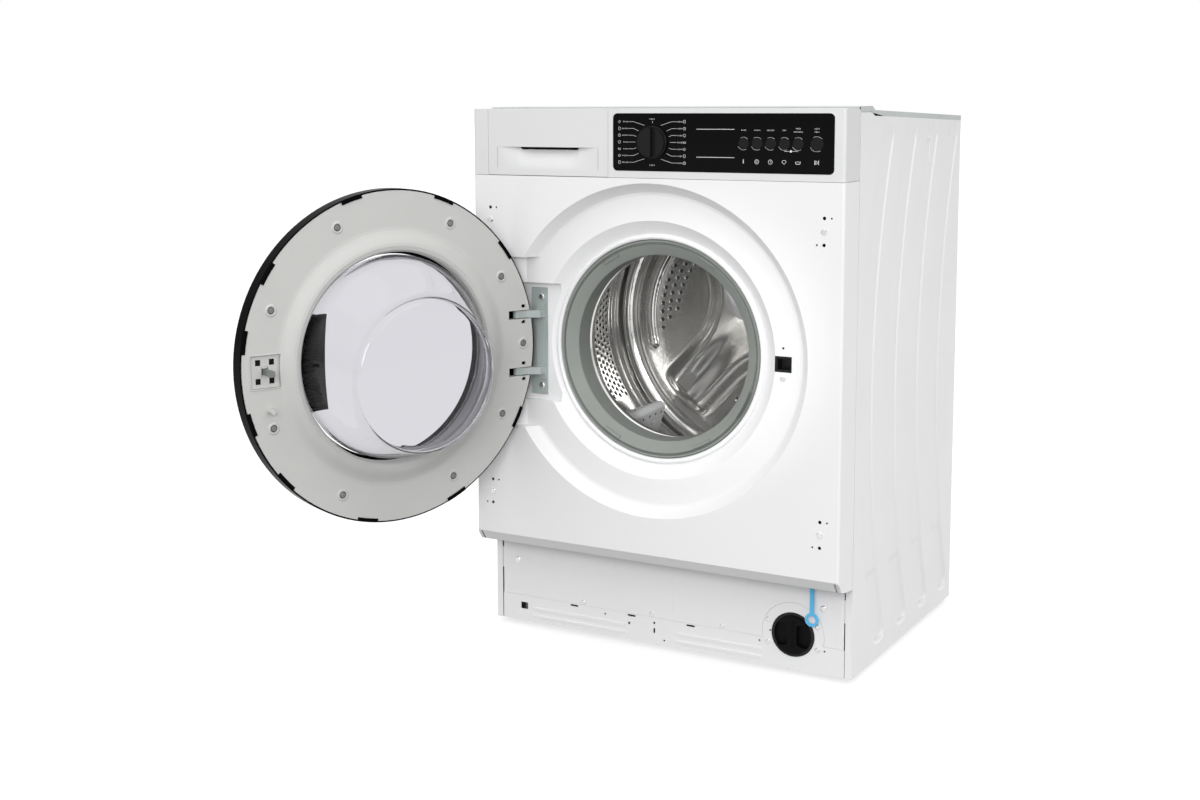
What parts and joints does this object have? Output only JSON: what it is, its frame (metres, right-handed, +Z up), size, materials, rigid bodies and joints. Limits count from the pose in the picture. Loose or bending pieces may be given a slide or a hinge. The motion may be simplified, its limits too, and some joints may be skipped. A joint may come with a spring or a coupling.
{
  "type": "integrated washing machine",
  "caption": "Built-in front-loading washing machine with a round door open to the left, recessed kick space, drain filter and galvanised lid, working parts inside",
  "frame": {"origin": "on the floor, under the middle of the cabinet's plan", "axes": "+X to the machine's right seen from the front, +Y to the back, +Z up; the front face looks along -Y"},
  "size_m": [0.7318, 0.9921, 0.827],
  "materials": {
    "cabinet_white": "smooth white enamel, slightly glossy",
    "fascia_white": "smooth white moulding",
    "window_black": "glossy black panel",
    "dial_black": "satin black knob",
    "button_black": "glossy black",
    "zinc_sheet": "galvanised sheet with fine spangle",
    "bright_steel": "bright zinc plated",
    "drum_steel": "polished stainless steel",
    "motor_steel": "dull grey",
    "cast_alloy": "as cast",
    "gasket_grey": "matt grey rubber",
    "hose_black": "matt black rubber",
    "foot_black": "matt black rubber",
    "tub_grey": "filled grey plastic",
    "lifter_white": "satin white plastic",
    "moulded_black": "satin black plastic",
    "filter_black": "satin black plastic",
    "strap_blue": "light blue plastic",
    "board_green": "potted circuit board",
    "concrete": "cast concrete",
    "door_black": "glossy black ring",
    "door_grey": "fine textured light grey",
    "door_glass": "clear pressed glass"
  },
  "bodies": {
    "cabinet": {"side_panel_left": "cabinet_white", "side_panel_right": "cabinet_white", "back_panel": "zinc_sheet", "back_cover": "zinc_sheet", "top_cover": "zinc_sheet", "front_panel": "cabinet_white", "control_fascia": "fascia_white", "control_window": "window_black", "service_panel": "cabinet_white", "base_pan": "cabinet_white", "door_lock": "moulded_black", "hinge_bracket": "zinc_sheet", "gasket": "gasket_grey", "gasket_clamp": "bright_steel", "tub_front": "tub_grey", "tub_rear": "tub_grey", "counterweights": "concrete", "suspension_springs": "bright_steel", "dampers": "moulded_black", "heater": "bright_steel", "drain_pump": "moulded_black", "hoses": "hose_black", "drain_outlet": "tub_grey", "inlet_valve": "fascia_white", "dispenser_housing": "tub_grey", "control_board": "board_green", "motor": "motor_steel", "bearings": "bright_steel", "cord_gland": "moulded_black", "transit_bolts": "bright_steel", "cabinet_screws": "bright_steel", "belt": "hose_black"},
    "door": {"door_outer": "door_black", "door_inner": "door_grey", "door_glass": "door_glass", "door_grip": "moulded_black", "door_screws": "bright_steel"},
    "latch": {"latch_hook": "bright_steel"},
    "drum": {"drum_wall": "drum_steel", "drum_front": "drum_steel", "drum_back": "drum_steel", "drum_lifters": "lifter_white", "drum_spider": "cast_alloy", "drum_pulley": "cast_alloy"},
    "motor_rotor": {"motor_pulley": "bright_steel"},
    "dial": {"program_dial": "dial_black"},
    "button_1": {"button_1": "button_black"},
    "button_2": {"button_2": "button_black"},
    "button_3": {"button_3": "button_black"},
    "button_4": {"button_4": "button_black"},
    "button_5": {"button_5": "button_black"},
    "start_button": {"start_button": "button_black"},
    "drawer": {"drawer_front": "fascia_white", "drawer_tray": "tub_grey"},
    "filter": {"filter_cap": "filter_black"},
    "strap": {"pull_strap": "strap_blue"},
    "foot_front_left": {"foot_front_left": "foot_black"},
    "foot_front_right": {"foot_front_right": "foot_black"},
    "foot_rear_left": {"foot_rear_left": "foot_black"},
    "foot_rear_right": {"foot_rear_right": "foot_black"}
  },
  "joints": [
    {"name": "door_hinge", "type": "hinge", "parent": "cabinet", "child": "door", "pos_m": [-0.2195, -0.27, 0.4695], "axis": [0, 0, 1], "range_deg": [0, 115.3]},
    {"name": "hook_swing", "type": "hinge", "parent": "door", "child": "latch", "pos_m": [-0.39953, -0.65554, 0.4675], "axis": [0, 0, 1], "range_deg": [0, 8], "stiffness_Nm_per_rad": 0.4},
    {"name": "drum_spin", "type": "hinge", "parent": "cabinet", "child": "drum", "pos_m": [0, -0.064, 0.4695], "axis": [0, 1, 0], "continuous": true},
    {"name": "motor_spin", "type": "hinge", "parent": "cabinet", "child": "motor_rotor", "pos_m": [-0.06, 0.196, 0.146], "axis": [0, 1, 0], "continuous": true},
    {"name": "dial_turn", "type": "hinge", "parent": "cabinet", "child": "dial", "pos_m": [0.0073, -0.264, 0.777], "axis": [0, -1, 0], "continuous": true},
    {"name": "button_1_press", "type": "slide", "parent": "cabinet", "child": "button_1", "axis": [0, 1, 0], "range_m": [0, 0.001], "stiffness_N_per_m": 900},
    {"name": "button_2_press", "type": "slide", "parent": "cabinet", "child": "button_2", "axis": [0, 1, 0], "range_m": [0, 0.001], "stiffness_N_per_m": 900},
    {"name": "button_3_press", "type": "slide", "parent": "cabinet", "child": "button_3", "axis": [0, 1, 0], "range_m": [0, 0.001], "stiffness_N_per_m": 900},
    {"name": "button_4_press", "type": "slide", "parent": "cabinet", "child": "button_4", "axis": [0, 1, 0], "range_m": [0, 0.001], "stiffness_N_per_m": 900},
    {"name": "button_5_press", "type": "slide", "parent": "cabinet", "child": "button_5", "axis": [0, 1, 0], "range_m": [0, 0.001], "stiffness_N_per_m": 900},
    {"name": "start_button_press", "type": "slide", "parent": "cabinet", "child": "start_button", "axis": [0, 1, 0], "range_m": [0, 0.001], "stiffness_N_per_m": 900},
    {"name": "drawer_slide", "type": "slide", "parent": "cabinet", "child": "drawer", "axis": [0, -1, 0], "range_m": [0, 0.22]},
    {"name": "filter_turn", "type": "hinge", "parent": "cabinet", "child": "filter", "pos_m": [0.2083, -0.204, 0.0604], "axis": [0, -1, 0], "range_deg": [0, 180]},
    {"name": "strap_pull", "type": "slide", "parent": "cabinet", "child": "strap", "axis": [0, 0, -1], "range_m": [0, 0.012], "stiffness_N_per_m": 300},
    {"name": "foot_front_left_level", "type": "slide", "parent": "cabinet", "child": "foot_front_left", "axis": [0, 0, -1], "range_m": [0, 0.015]},
    {"name": "foot_front_right_level", "type": "slide", "parent": "cabinet", "child": "foot_front_right", "axis": [0, 0, -1], "range_m": [0, 0.015]},
    {"name": "foot_rear_left_level", "type": "slide", "parent": "cabinet", "child": "foot_rear_left", "axis": [0, 0, -1], "range_m": [0, 0.015]},
    {"name": "foot_rear_right_level", "type": "slide", "parent": "cabinet", "child": "foot_rear_right", "axis": [0, 0, -1], "range_m": [0, 0.015]}
  ],
  "couplings": [
    {"joint": "motor_spin", "follows": "drum_spin", "ratio": 13.333}
  ]
}
